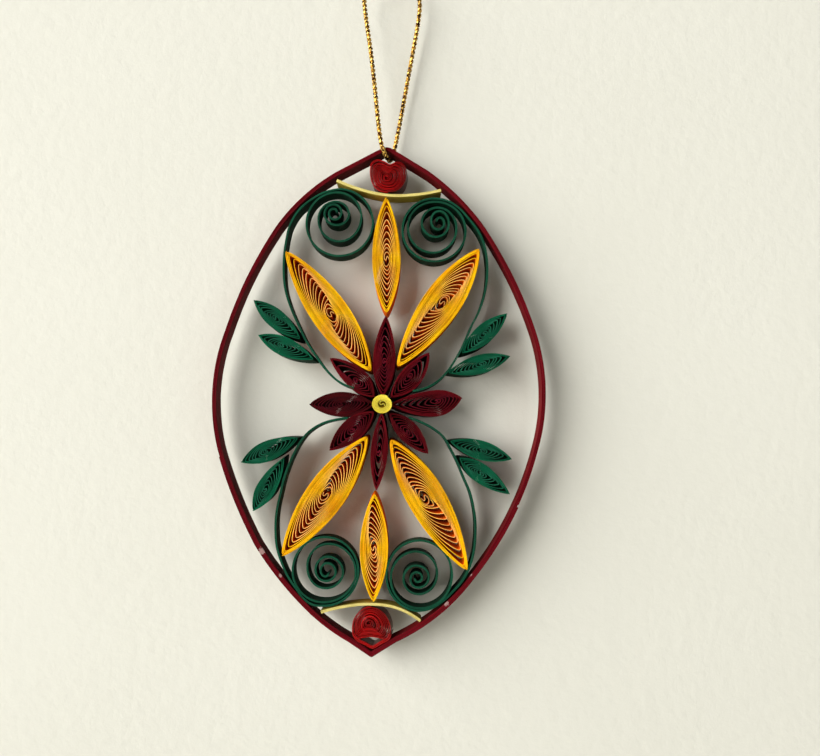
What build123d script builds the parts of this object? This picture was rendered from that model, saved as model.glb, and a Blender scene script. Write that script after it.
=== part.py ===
from build123d import *
import os
from math import atan, cos, hypot, pi, radians, sin, tan

# Quilled paper ornament. Narrow paper strips are rolled on edge, pinched to petals and
# leaves, and glued into an almond-shaped hoop of laminated strips, which hangs by a cord.
# X is to the right, Z up, Y into the wall. The origin is the top of the hanging loop.

# Driving sizes, in millimetres and degrees
strip_width = 5.0
paper_thickness = 0.28
turn_gap = 0.05
glue_gap = 0.08
inner_half_width = 38.2
inner_half_height = 59.0
top_fold_radius = 1.6
tail_fold_radius = 0.5
fold_slope = 30.5
band_thickness = 0.80
upper_wrap_thickness = 0.16
lower_wrap_thickness = 0.36
wrap_end_gap = 0.45
vine_thickness = 0.36
bar_thickness = 0.75
petal_rim = 1.25
flower_rim = 0.80
leaf_rim = 0.75
red_rim = 0.90
rim_tip = 0.40
center_coil_height = 2.0
cord_diameter = 1.0
loop_height = 46.0

# The plan is drawn with half the almond's opening as 1 across, and this share high.
drawn_height_share = 1.545
middle = -loop_height - upper_wrap_thickness - band_thickness - inner_half_height
back_plane = Plane.XZ.offset(-strip_width / 2)


def plan(point):
    """A place on the plan, in shares, as millimetres across and up."""
    rise = point[1] * inner_half_height / drawn_height_share
    return (point[0] * inner_half_width, middle + rise)


def save(piece, name):
    piece.part.label = name
    export_step(piece.part, f"parts/{name}.step")


os.makedirs("parts", exist_ok=True)

# The hoop: the opening's sides from the top down. The strips run straight out of each fold
# to the first place, and bend gently through the others.
left_side_shares = (
    (-0.286, 1.389), (-0.476, 1.245), (-0.654, 1.034), (-0.821, 0.715), (-0.944, 0.370),
    (-1.006, -0.010), (-0.955, -0.359), (-0.839, -0.654), (-0.704, -0.916), (-0.548, -1.118),
    (-0.351, -1.315), (-0.238, -1.400), (-0.124, -1.467),
)
right_side_shares = (
    (0.248, 1.405), (0.418, 1.270), (0.600, 1.067), (0.787, 0.759), (0.933, 0.421),
    (1.000, 0.059), (0.958, -0.306), (0.804, -0.728), (0.578, -1.086), (0.330, -1.338),
    (0.131, -1.459),
)
left_step_share = (-0.964, -0.408)
right_step_share = (0.861, -0.663)
beyond_share = 2.0

# Each fold is a corner of the outline, rounded off. The height is measured to the round of
# the upper fold, whose corner lies beyond it, and to the sharp crease of the tail.
slant = cos(radians(fold_slope))
top_corner = middle + inner_half_height + top_fold_radius * (1 / slant - 1)
tail_corner = middle - inner_half_height


def beside(points, distance):
    """The line through the points, moved to its left by the distance."""
    moved = []
    for k, (x, z) in enumerate(points):
        x0, z0 = points[max(k - 1, 0)]
        x1, z1 = points[min(k + 1, len(points) - 1)]
        run = hypot(x1 - x0, z1 - z0)
        moved.append((x - (z1 - z0) / run * distance, z + (x1 - x0) / run * distance))
    return moved


def bent_strip(points):
    """Arcs through the points, each arc from a point over the next to the one after it."""
    for start, over, end in zip(points[::2], points[1::2], points[2::2]):
        ThreePointArc(start, over, end)


def grown_opening(grow):
    """Face of the hoop's opening, grown outward by a thickness. The strips of the upper fold
    bend round each other, and those of the tail are creased one by one."""
    top, tail = (0, top_corner + grow / slant), (0, tail_corner - grow / slant)
    with BuildSketch() as grown:
        with BuildLine():
            for side_shares, outward in ((left_side_shares, -grow), (right_side_shares, grow)):
                ends = [(0, top_corner), *[plan(p) for p in side_shares], (0, tail_corner)]
                side = beside(ends, outward)[1:-1]
                Line(top, side[0])
                bent_strip(side)
                Line(side[-1], tail)
        make_face()
        corners = grown.vertices().sort_by(Axis.Y)
        fillet(corners[-1], top_fold_radius + grow)
        fillet(corners[0], tail_fold_radius)
    return grown.sketch


def half_plane(left, right, up):
    """Face beside the line through two places, above it or below it."""
    reach = inner_half_width * beyond_share * (1 if up else -1)
    (x0, z0), (x1, z1) = left, right
    steep = (z1 - z0) / (x1 - x0)
    x2, x3 = -inner_half_width * beyond_share, inner_half_width * beyond_share
    z2, z3 = z0 + (x2 - x0) * steep, z1 + (x3 - x1) * steep
    with BuildSketch() as half:
        with BuildLine():
            Polyline((x2, z2), (x3, z3), (x3, z3 + 2 * reach), (x2, z2 + 2 * reach), close=True)
        make_face()
    return half.sketch


with BuildPart() as frame_band:
    with BuildSketch(back_plane):
        add(grown_opening(band_thickness))
        add(grown_opening(0), mode=Mode.SUBTRACT)
    extrude(amount=strip_width)
save(frame_band, "frame_band")

left_step = plan(left_step_share)
right_step = plan(right_step_share)

with BuildPart() as frame_wrap_lower:
    with BuildSketch(back_plane):
        add(grown_opening(band_thickness + lower_wrap_thickness))
        add(grown_opening(band_thickness), mode=Mode.SUBTRACT)
        add(half_plane(left_step, right_step, False), mode=Mode.INTERSECT)
    extrude(amount=strip_width)
save(frame_wrap_lower, "frame_wrap_lower")

with BuildPart() as frame_wrap_upper:
    with BuildSketch(back_plane):
        add(grown_opening(band_thickness + upper_wrap_thickness))
        add(grown_opening(band_thickness), mode=Mode.SUBTRACT)
        above_left = (left_step[0], left_step[1] + glue_gap)
        above_right = (right_step[0], right_step[1] + wrap_end_gap)
        add(half_plane(above_left, above_right, True), mode=Mode.INTERSECT)
    extrude(amount=strip_width)
save(frame_wrap_upper, "frame_wrap_upper")

# The bars: one strip folded over itself, bent between the sides of the hoop
top_bar_shares = (
    (-0.309, 1.348), (-0.158, 1.293), (0.016, 1.261), (0.175, 1.268), (0.347, 1.302),
)
bottom_bar_shares = (
    (-0.312, -1.321), (-0.170, -1.283), (-0.025, -1.265), (0.127, -1.278), (0.289, -1.355),
)

for name, bar_shares in (("bar_top", top_bar_shares), ("bar_bottom", bottom_bar_shares)):
    bar_line = [plan(p) for p in bar_shares]
    upper = beside(bar_line, bar_thickness / 2)
    lower = beside(bar_line, -bar_thickness / 2)
    with BuildPart() as bar:
        with BuildSketch(back_plane):
            with BuildLine():
                bent_strip(upper)
                bent_strip(lower)
                Line(upper[0], lower[0])
                Line(upper[-1], lower[-1])
            make_face()
        extrude(amount=strip_width)
    save(bar, name)

# Pinched coils: petals and leaves. Each strip is wound loosely, pinched at both ends and
# glued, so that the outer turns lie tight in a rim and the inner ones spring open.
outline_facets = 16
turn_facets = 8
eye_reach_share = 0.10
eye_width_share = 0.20


def pinched_place(coil, angle, ends, sides):
    """Place on a turn of a pinched coil: a flat arch between the ends, on each side."""
    (x0, z0), (x1, z1) = coil[0], coil[1]
    length = hypot(x1 - x0, z1 - z0)
    across, up = (x0 - x1) / length, (z0 - z1) / length
    along = cos(angle) * (ends[0] if cos(angle) > 0 else ends[1])
    aside = sin(angle) * abs(sin(angle)) * (sides[0] if sin(angle) > 0 else sides[1])
    x = x0 - across * length * coil[2] + across * along - up * aside
    z = z0 - up * length * coil[2] + up * along + across * aside
    return plan((x, z))


def make_pinched_coil(coil, rim):
    """Solid of one pinched coil. `coil` holds its outer tip, its inner tip, how far down the
    eye lies and the half widths to its left and right, all as shares."""
    length = hypot(coil[0][0] - coil[1][0], coil[0][1] - coil[1][1])
    ends = (length * coil[2], length * (1 - coil[2]))
    sides = coil[3]
    unit = inner_half_width
    # The walls at the tips are cut slantwise by the axis, so they are longer along it.
    slants = [sin(atan((sides[0] + sides[1]) / end)) for end in ends]
    hole_ends = [end - rim_tip / unit / slant for end, slant in zip(ends, slants)]
    hole_sides = [side - rim / unit for side in sides]
    first_sides = [side - turn_gap / unit for side in hole_sides]
    last_ends = [end * eye_reach_share for end in ends]
    last_sides = [side * eye_width_share for side in sides]
    pitch = (paper_thickness + turn_gap) / unit
    turns = int((min(first_sides) - max(last_sides)) / pitch)
    steps = turns * turn_facets
    start_overlap = rim_tip / unit / 2
    near, far = [], []
    for step in range(steps + 1):
        inward = step / steps
        angle = 2 * pi * step / turn_facets
        turn_ends = [a + (b - a) * inward for a, b in zip(hole_ends, last_ends)]
        turn_sides = [a + (b - a) * inward for a, b in zip(first_sides, last_sides)]
        if step == 0:
            turn_ends[0] += start_overlap
        near.append(pinched_place(coil, angle, turn_ends, turn_sides))
        thin_ends = [end - paper_thickness / unit / slant for end, slant in zip(turn_ends, slants)]
        thin_sides = [side - paper_thickness / unit for side in turn_sides]
        far.append(pinched_place(coil, angle, thin_ends, thin_sides))
    with BuildPart() as piece:
        with BuildSketch(back_plane):
            angles = [2 * pi * k / outline_facets for k in range(outline_facets)]
            with BuildLine():
                Polyline(*[pinched_place(coil, a, ends, sides) for a in angles], close=True)
            make_face()
            angles = [2 * pi * k / turn_facets for k in range(turn_facets)]
            with BuildLine():
                Polyline(*[pinched_place(coil, a, hole_ends, hole_sides) for a in angles], close=True)
            make_face(mode=Mode.SUBTRACT)
            with BuildLine():
                Polyline(*near, *reversed(far), close=True)
            make_face()
        extrude(amount=strip_width)
    return piece


# Outer tip, inner tip, how far down the eye lies, half widths to the left and to the right
petal_shares = {
    "petal_top": ((0.007, 1.247), (0.029, 0.512), 0.53, (0.092, 0.092)),
    "petal_upper_right": ((0.600, 0.934), (0.106, 0.182), 0.46, (0.120, 0.120)),
    "petal_lower_right": ((0.562, -1.047), (0.077, -0.269), 0.55, (0.128, 0.112)),
    "petal_bottom": ((0.000, -1.251), (-0.011, -0.602), 0.49, (0.089, 0.089)),
    "petal_lower_left": ((-0.562, -0.991), (-0.065, -0.254), 0.51, (0.121, 0.122)),
    "petal_upper_left": ((-0.609, 0.886), (-0.055, 0.150), 0.53, (0.120, 0.120)),
}
flower_shares = {
    "flower_petal_top": ((0.028, 0.496), (0.022, -0.004), 0.58, (0.073, 0.073)),
    "flower_petal_upper_right": ((0.304, 0.273), (0.086, 0.020), 0.50, (0.058, 0.084)),
    "flower_petal_right": ((0.513, -0.006), (0.073, -0.054), 0.36, (0.068, 0.100)),
    "flower_petal_lower_right": ((0.308, -0.352), (0.091, -0.128), 0.50, (0.072, 0.062)),
    "flower_petal_bottom": ((-0.003, -0.583), (0.019, -0.108), 0.50, (0.055, 0.055)),
    "flower_petal_lower_left": ((-0.299, -0.345), (-0.053, -0.123), 0.50, (0.070, 0.076)),
    "flower_petal_left": ((-0.431, -0.064), (-0.030, -0.056), 0.50, (0.080, 0.080)),
    "flower_petal_upper_left": ((-0.312, 0.226), (-0.055, 0.009), 0.58, (0.058, 0.084)),
}
leaf_shares = {
    "leaf_upper_left_high": ((-0.800, 0.575), (-0.500, 0.336), 0.47, (0.062, 0.062)),
    "leaf_upper_left_low": ((-0.763, 0.357), (-0.412, 0.211), 0.45, (0.062, 0.062)),
    "leaf_upper_right_high": ((0.782, 0.531), (0.502, 0.275), 0.51, (0.062, 0.062)),
    "leaf_upper_right_low": ((0.804, 0.263), (0.420, 0.152), 0.48, (0.062, 0.062)),
    "leaf_lower_left_high": ((-0.836, -0.432), (-0.490, -0.275), 0.45, (0.065, 0.065)),
    "leaf_lower_left_low": ((-0.752, -0.728), (-0.572, -0.398), 0.41, (0.062, 0.062)),
    "leaf_lower_right_high": ((0.825, -0.372), (0.443, -0.270), 0.50, (0.062, 0.062)),
    "leaf_lower_right_low": ((0.815, -0.585), (0.502, -0.370), 0.58, (0.062, 0.062)),
}
for name, coil in petal_shares.items():
    save(make_pinched_coil(coil, petal_rim), name)
for name, coil in flower_shares.items():
    save(make_pinched_coil(coil, flower_rim), name)
for name, coil in leaf_shares.items():
    save(make_pinched_coil(coil, leaf_rim), name)

# The vines: one strip each, its stem glued to the flower and its other end left as an open
# scroll. The stem's outer line runs from the flower to the scroll, and the scroll's radii
# are given for each quarter turn inward, with how far its centre has moved to the eye.
quarter_facets = 4


class Vine:
    """Places of one vine, all as shares of the plan."""

    def __init__(self, stem, centre, eye, radius, first_angle, turning, radii, drift):
        self.stem = stem
        self.centre = centre
        self.eye = eye
        self.radius = radius
        self.first_angle = first_angle
        self.turning = turning
        self.radii = radii
        self.drift = drift


vine_drift_shares = (0, 0, 0, 0, 0.05, 0.2, 0.3, 0.5, 0.65, 0.75, 0.85, 0.92, 1, 1, 1, 1, 1, 1)
vine_shares = {
    "vine_upper_left": Vine(
        (
            (-0.245, 0.068), (-0.342, 0.150), (-0.399, 0.224), (-0.464, 0.316),
            (-0.517, 0.415), (-0.572, 0.531), (-0.609, 0.637), (-0.627, 0.780), (-0.619, 0.945),
            (-0.597, 1.055), (-0.546, 1.150), (-0.474, 1.219), (-0.385, 1.273),
        ),
        (-0.286, 1.078), (-0.316, 1.140), 0.217, 90, -1,
        (1.01, 1.00, 1.00, 0.96, 0.89, 0.68, 0.66, 0.55, 0.45, 0.40,
         0.34, 0.32, 0.26, 0.22, 0.22, 0.18, 0.13, 0.08),
        vine_drift_shares,
    ),
    "vine_upper_right": Vine(
        (
            (0.239, 0.034), (0.356, 0.090), (0.414, 0.151), (0.482, 0.260), (0.527, 0.355),
            (0.561, 0.441), (0.612, 0.551), (0.645, 0.672), (0.655, 0.790), (0.646, 0.900),
            (0.626, 0.979), (0.588, 1.057), (0.534, 1.125), (0.466, 1.196), (0.392, 1.240),
        ),
        (0.3155, 1.0465), (0.340, 1.102), 0.208, 90, 1,
        (0.99, 1.00, 0.98, 0.95, 0.88, 0.86, 0.79, 0.61, 0.54, 0.51,
         0.45, 0.33, 0.34, 0.26, 0.27, 0.18, 0.14, 0.09),
        vine_drift_shares,
    ),
    "vine_lower_left": Vine(
        (
            (-0.235, -0.146), (-0.371, -0.190), (-0.440, -0.243),
            (-0.482, -0.300), (-0.518, -0.371), (-0.548, -0.448), (-0.572, -0.525),
            (-0.590, -0.612), (-0.606, -0.699), (-0.613, -0.780), (-0.611, -0.850),
            (-0.597, -0.949), (-0.569, -1.027), (-0.525, -1.115), (-0.473, -1.185),
            (-0.428, -1.242), (-0.368, -1.281),
        ),
        (-0.303, -1.080), (-0.288, -1.084), 0.209, 270, 1,
        (0.99, 1.02, 1.02, 0.93, 0.89, 0.93, 0.82, 0.53, 0.48, 0.52,
         0.47, 0.33, 0.27, 0.29, 0.29, 0.18, 0.13, 0.08),
        vine_drift_shares,
    ),
    "vine_lower_right": Vine(
        (
            (0.188, -0.127), (0.266, -0.153), (0.338, -0.189), (0.405, -0.241), (0.450, -0.312),
            (0.496, -0.398), (0.536, -0.488), (0.577, -0.579), (0.600, -0.665), (0.613, -0.746),
            (0.616, -0.836), (0.607, -0.940), (0.581, -1.035), (0.542, -1.110), (0.483, -1.180),
            (0.425, -1.238), (0.355, -1.284),
        ),
        (0.275, -1.0905), (0.261, -1.103), 0.212, 270, -1,
        (1.00, 0.96, 1.03, 0.96, 0.92, 0.82, 0.73, 0.56, 0.49, 0.42,
         0.37, 0.36, 0.28, 0.20, 0.19, 0.17, 0.12, 0.07),
        vine_drift_shares,
    ),
}


def between(values, place):
    """Value at a place between the entries of a table."""
    k = min(int(place), len(values) - 2)
    return values[k] + (values[k + 1] - values[k]) * (place - k)


for name, vine in vine_shares.items():
    line = [plan(p) for p in vine.stem]
    for step in range((len(vine.radii) - 1) * quarter_facets + 1):
        quarters = step / quarter_facets
        angle = radians(vine.first_angle) + vine.turning * quarters * pi / 2
        moved = between(vine.drift, quarters)
        radius = vine.radius * between(vine.radii, quarters)
        x = vine.centre[0] + (vine.eye[0] - vine.centre[0]) * moved + radius * cos(angle)
        z = vine.centre[1] + (vine.eye[1] - vine.centre[1]) * moved + radius * sin(angle)
        line.append(plan((x, z)))
    with BuildPart() as vine_strip:
        with BuildSketch(back_plane):
            with BuildLine():
                inner_line = beside(line, vine_thickness * vine.turning)
                Polyline(*line, *reversed(inner_line), close=True)
            make_face()
        extrude(amount=strip_width)
    save(vine_strip, name)

# The two red coils, pressed into a heart and a drop: the eye, the outline, and the last turn
# where it lies in the fold, with the hollow above it. Each turn is the outline drawn smaller
# about the eye.
red_shares = {
    "coil_top": (
        (0.003, 1.370),
        (
            (0.014, 1.277), (-0.039, 1.287), (-0.078, 1.318), (-0.100, 1.371), (-0.106, 1.422),
            (-0.094, 1.461), (-0.060, 1.478), (-0.019, 1.474), (0.025, 1.460), (0.075, 1.474),
            (0.110, 1.472), (0.132, 1.440), (0.133, 1.390), (0.117, 1.332), (0.078, 1.288),
        ),
        (),
        (),
    ),
    "coil_bottom": (
        (-0.022, -1.376),
        (
            (-0.011, -1.276), (-0.057, -1.291), (-0.092, -1.322), (-0.114, -1.355),
            (-0.123, -1.400), (-0.119, -1.445), (-0.098, -1.470), (-0.050, -1.465),
            (-0.005, -1.460), (0.045, -1.466), (0.096, -1.470), (0.117, -1.439),
            (0.120, -1.404), (0.106, -1.360), (0.079, -1.318), (0.041, -1.290),
        ),
        (
            (-0.119, -1.445), (-0.102, -1.476), (-0.042, -1.508), (0.003, -1.527),
            (0.060, -1.498), (0.110, -1.464), (0.117, -1.439),
        ),
        ((-0.070, -1.477), (-0.004, -1.466), (0.062, -1.476), (0.000, -1.503)),
    ),
}
red_turns = 3
red_eye_share = 0.22
red_fill_share = 0.82


def shrunk(eye, outline, share):
    return [(eye[0] + (x - eye[0]) * share, eye[1] + (z - eye[1]) * share) for x, z in outline]


for name, (eye, outline, last_turn, hollow) in red_shares.items():
    size = sum(hypot(x - eye[0], z - eye[1]) for x, z in outline) / len(outline)
    rim_share = red_rim / inner_half_width / size
    gap_share = turn_gap / inner_half_width / size
    count = len(outline)
    pitch_share = (1 - rim_share - gap_share - red_eye_share) / red_turns
    near, far = [], []
    for step in range(red_turns * count + 1):
        share = 1 - rim_share - gap_share - pitch_share * step / count
        if step == 0:
            share += gap_share + rim_share / 2
        corner = [outline[step % count]]
        near += shrunk(eye, corner, share)
        far += shrunk(eye, corner, share - pitch_share * red_fill_share)
    with BuildPart() as red_coil:
        with BuildSketch(back_plane):
            with BuildLine():
                Polyline(*[plan(p) for p in outline], close=True)
            make_face()
            if last_turn:
                with BuildLine():
                    Polyline(*[plan(p) for p in last_turn], close=True)
                make_face()
                with BuildLine():
                    Polyline(*[plan(p) for p in hollow], close=True)
                make_face(mode=Mode.SUBTRACT)
            with BuildLine():
                Polyline(*[plan(p) for p in shrunk(eye, outline, 1 - rim_share)], close=True)
            make_face(mode=Mode.SUBTRACT)
            with BuildLine():
                Polyline(*[plan(p) for p in near + far[::-1]], close=True)
            make_face()
        extrude(amount=strip_width)
    save(red_coil, name)

# The tight coil on the front of the flower, over the petals' inner tips
center_place_share = (0.021, -0.056)
center_radii_shares = (0.063, 0.058)
eye_slit_shares = (
    ((0.012, -0.050), (0.017, -0.040), (0.026, -0.043), (0.022, -0.052)),
    ((0.008, -0.060), (0.016, -0.070), (0.022, -0.062), (0.013, -0.056)),
)
with BuildPart() as center_coil:
    with BuildSketch(Plane.XZ.offset(strip_width / 2)):
        with Locations(plan(center_place_share)):
            Ellipse(center_radii_shares[0] * inner_half_width, center_radii_shares[1] * inner_half_width)
        for slit in eye_slit_shares:
            with BuildLine():
                Polyline(*[plan(p) for p in slit], close=True)
            make_face(mode=Mode.SUBTRACT)
    extrude(amount=center_coil_height)
save(center_coil, "center_coil")

# The hanging cord: up over the front of the top fold, round above and down behind it. Both
# ends meet under the fold. Places are chosen by hand, from the top of the hoop.
cord_route = (
    (0.1, -0.15, -2.0), (-0.45, -3.25, -2.1), (-1.75, -3.25, 1.4), (-4.2, -2.7, 21.5),
    (-6.5, -1.6, 34.5), (-6.9, -0.6, 39.6), (-4.3, -0.1, 44.2), (0.2, 0.1, 46.1), (4.7, 0.3, 44.0),
    (7.1, 0.9, 39.4), (6.8, 1.8, 34.0), (4.97, 2.7, 22.5), (1.8, 3.25, 1.4), (0.6, 3.25, -2.1),
    (0.3, 0.15, -2.0),
)
run_share = 0.45
cord_facets = 6
points = [Vector(x, y, z - loop_height) for x, y, z in cord_route]
radii = []
for before, corner, after in zip(points, points[1:], points[2:]):
    first, second = corner - before, after - corner
    half_turn = radians(first.get_angle(second)) / 2
    radii.append(run_share * min(first.length, second.length) / tan(half_turn))
print("cord radii", [round(r, 2) for r in radii])
with BuildPart() as hanging_cord:
    with BuildLine() as cord_line:
        FilletPolyline(*points, radius=radii)
    with BuildSketch(Plane(cord_line.line @ 0, z_dir=cord_line.line % 0)) as cord_section:
        RegularPolygon(cord_diameter / 2, cord_facets)
        section = cord_section.sketch.area
    sweep()
cord_length = sum(edge.length for edge in cord_line.edges())
print("cord length", cord_length, "volume share", hanging_cord.part.volume / section / cord_length)
save(hanging_cord, "hanging_cord")
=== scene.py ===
import math

import bpy
import numpy as np
from mathutils import Matrix, Vector


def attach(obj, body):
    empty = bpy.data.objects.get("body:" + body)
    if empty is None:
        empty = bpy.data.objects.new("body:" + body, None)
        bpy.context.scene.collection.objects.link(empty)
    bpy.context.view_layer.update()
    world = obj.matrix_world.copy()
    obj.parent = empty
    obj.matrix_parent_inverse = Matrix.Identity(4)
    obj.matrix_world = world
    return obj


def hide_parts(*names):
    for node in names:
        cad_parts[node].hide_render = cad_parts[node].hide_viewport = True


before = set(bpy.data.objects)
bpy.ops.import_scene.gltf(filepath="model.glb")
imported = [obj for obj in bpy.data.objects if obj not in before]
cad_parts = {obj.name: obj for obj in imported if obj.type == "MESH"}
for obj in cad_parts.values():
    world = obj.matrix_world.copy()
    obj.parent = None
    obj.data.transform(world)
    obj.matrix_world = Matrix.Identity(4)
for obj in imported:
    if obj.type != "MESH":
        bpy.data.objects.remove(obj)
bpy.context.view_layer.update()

# Camera: it stands 187 mm in front of the strips' front edges, looks a little upward from
# below the middle, and rolls with the ornament's lean, so that the hoop leans in the picture.
MM = 0.001
FRONT, MIDDLE = -2.5 * MM, -105.96 * MM
distance = 187 * MM
lean, pitch = math.radians(1.5886), math.radians(4.38)
across = np.array((math.cos(lean), 0, math.sin(lean)))
upward = np.array((-math.sin(lean), 0, math.cos(lean)))
inward = np.array((0, 1, 0))
look = math.cos(pitch) * inward + math.sin(pitch) * upward
camera = bpy.data.objects.new("camera", bpy.data.cameras.new("camera"))
bpy.context.scene.collection.objects.link(camera)
bpy.context.scene.camera = camera
foot = np.array((7.616, 0, -10.141)) * MM
camera.location = foot + np.array((0, FRONT - distance, MIDDLE))
top = np.cross(across, look)
camera.rotation_mode = "QUATERNION"
camera.rotation_quaternion = Matrix(np.array((across, top, -look)).T.tolist()).to_quaternion()
camera.data.lens = 34.93
half_pixel = 0.5 / 820
camera.data.shift_x, camera.data.shift_y = -half_pixel, half_pixel
camera.data.clip_start, camera.data.clip_end = 0.01, 10

# Stage: a pale plastered wall close behind the ornament that sweeps down to a floor, seen only
# from its front, with a large soft light high on the left and a weak fill before and behind.


def linear(red, green, blue):
    """Colour from its 0 to 255 values, made linear: each share to the power 2.2, then a full
    alpha."""
    return (*(np.array((red, green, blue)) / 255) ** 2.2, 1.0)


def nodes_of(name):
    """Empty node material, a way to add a node and a way to link two sockets. A value given to
    add sets the node's property of that name, or else its socket, with spaces for underscores."""
    material = bpy.data.materials.new(name)
    material.use_nodes = True
    tree = material.node_tree
    tree.nodes.clear()

    def add(kind, **values):
        node = tree.nodes.new(kind)
        for key, value in values.items():
            if hasattr(node, key):
                setattr(node, key, value)
            else:
                node.inputs[key.replace("_", " ")].default_value = value
        return node

    def link(start, end):
        tree.links.new(start, end)

    return material, add, link


def sheet_along(name, profile, half_width):
    """Sheet along a profile of (y, z) places: each place is drawn out to both sides in x."""
    profile = np.array(profile)
    count = len(profile)
    rows = [np.column_stack((np.full(count, x), profile)) for x in (-half_width, half_width)]
    mesh = bpy.data.meshes.new(name)
    faces = [(k, k + 1, count + k + 1, count + k) for k in range(count - 1)]
    mesh.from_pydata(np.vstack(rows).tolist(), [], faces)
    thing = bpy.data.objects.new(name, mesh)
    bpy.context.scene.collection.objects.link(thing)
    return thing


bend = np.linspace(0, math.pi / 2, 17)
wall_y, wall_top, bend_radius = 5.6 * MM, 0.9, 0.12
floor_z, floor_front = -0.36, -1.5
sweep = [(wall_y, wall_top)]
sweep += [(wall_y - bend_radius * (1 - math.cos(a)), floor_z + bend_radius * (1 - math.sin(a)))
          for a in bend]
sweep += [(floor_front, floor_z)]
wall = sheet_along("wall", sweep, half_width=0.7)
for face in wall.data.polygons:
    face.use_smooth = True
plaster, add, link = nodes_of("pale_plaster")
shader = add("ShaderNodeBsdfPrincipled", Roughness=0.9)
place = add("ShaderNodeTexCoord")
lumps = add("ShaderNodeTexNoise", Scale=330, Detail=5, Roughness=0.55)
tint = add("ShaderNodeTexNoise", Scale=14, Detail=2)
mix = add("ShaderNodeMix", data_type="RGBA")
mix.inputs["A"].default_value = linear(214, 213, 203)
mix.inputs["B"].default_value = linear(208, 207, 196)
bump = add("ShaderNodeBump", Strength=0.35, Distance=0.0004)
clear = add("ShaderNodeBsdfTransparent")
side = add("ShaderNodeNewGeometry")
choice = add("ShaderNodeMixShader")
out = add("ShaderNodeOutputMaterial")
link(place.outputs["Object"], lumps.inputs["Vector"])
link(place.outputs["Object"], tint.inputs["Vector"])
link(tint.outputs["Fac"], mix.inputs["Factor"])
link(mix.outputs["Result"], shader.inputs["Base Color"])
link(lumps.outputs["Fac"], bump.inputs["Height"])
link(bump.outputs["Normal"], shader.inputs["Normal"])
link(side.outputs["Backfacing"], choice.inputs["Fac"])
link(shader.outputs["BSDF"], choice.inputs[1])
link(clear.outputs["BSDF"], choice.inputs[2])
link(choice.outputs["Shader"], out.inputs["Surface"])
wall.data.materials.append(plaster)

world = bpy.data.worlds.new("room")
bpy.context.scene.world = world
world.use_nodes = True
world.node_tree.nodes["Background"].inputs["Color"].default_value = linear(255, 252, 246)
world.node_tree.nodes["Background"].inputs["Strength"].default_value = 0.10


def area_light(name, place, aim, size, power, color):
    """Square light at a place, turned to face the aim."""
    lamp = bpy.data.lights.new(name, "AREA")
    lamp.size, lamp.energy, lamp.color = size, power, color
    thing = bpy.data.objects.new(name, lamp)
    bpy.context.scene.collection.objects.link(thing)
    thing.location = place
    thing.rotation_mode = "QUATERNION"
    thing.rotation_quaternion = (Vector(aim) - Vector(place)).to_track_quat("-Z", "Y")


aim = (0, 0, -0.10)
area_light("key", (-3.22, -2.25, 0.72), aim, size=4.35, power=394.0, color=(1.0, 0.99, 0.965))
area_light("fill", (0.9, -1.3, -0.1), aim, size=0.9, power=2.4, color=(0.97, 0.98, 1.0))
area_light("back_fill", (-0.5, 0.9, 0.3), aim, size=0.8, power=9.0, color=(1.0, 0.98, 0.95))

# Hanging cord: a limp metallic golden thread of two plies twisted together, looped through under
# the top fold. A NURBS curve smooths its route of listed points, and each ply winds round
# that line.


def run_of(line):
    """Distance run along a line of points, up to each of them."""
    return np.concatenate(((0,), np.cumsum(np.linalg.norm(np.diff(line, axis=0), axis=1))))


def even(line, step):
    """The line at even distances of about the step, straight between its points."""
    run = run_of(line)
    marks = np.linspace(0, run[-1], max(int(run[-1] / step), 2) + 1)
    return np.column_stack([np.interp(marks, run, column) for column in line.T])


def mesh_of(name, points, faces, **marks):
    """Mesh of points and faces, with named marks for each point, smooth except at its corners."""
    mesh = bpy.data.meshes.new(name)
    mesh.from_pydata(points.tolist(), [], faces)
    for key, values in marks.items():
        layer = mesh.attributes.new(key, "FLOAT", "POINT")
        layer.data.foreach_set("value", np.ascontiguousarray(values, dtype=np.float32))
    mesh.shade_smooth()
    mesh.set_sharp_from_angle(angle=math.radians(38))
    return mesh


def show(name, mesh, material, slot, *nodes):
    """Puts a mesh in the scene as a piece of the object that stands for the CAD nodes."""
    thing = bpy.data.objects.new(name, mesh)
    bpy.context.scene.collection.objects.link(thing)
    mesh.materials.append(material)
    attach(thing, "root")
    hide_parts(*nodes)
    return thing


route = (
    (0.1, -0.15, -2.0), (-0.45, -3.25, -2.1), (-1.75, -3.25, 1.4), (-4.2, -2.7, 21.5),
    (-6.5, -1.6, 34.5), (-6.9, -0.6, 39.6), (-4.3, -0.1, 44.2), (0.2, 0.1, 46.1), (4.7, 0.3, 44.0),
    (7.1, 0.9, 39.4), (6.8, 1.8, 34.0), (4.97, 2.7, 22.5), (1.8, 3.25, 1.4), (0.6, 3.25, -2.1),
    (0.3, 0.15, -2.0),
)
cord_curve = bpy.data.curves.new("cord_route", "CURVE")
cord_curve.dimensions = "3D"
spline = cord_curve.splines.new("NURBS")
spline.points.add(len(route) - 1)
loop_height = 46  # in millimetres, over the underside of the fold, where the route's z is 0
for point, (x, y, z) in zip(spline.points, route):
    point.co = (x * MM, y * MM, (z - loop_height) * MM, 1)
spline.order_u = 3
spline.use_endpoint_u = True
cord_curve.resolution_u = 24
guide = bpy.data.objects.new("cord_guide", cord_curve)
read = bpy.data.meshes.new_from_object(guide)
cord_line = np.empty(len(read.vertices) * 3, dtype=np.float32)
read.vertices.foreach_get("co", cord_line)
cord_line = even(cord_line.reshape(-1, 3).astype(float), step=0.25 * MM)


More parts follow.
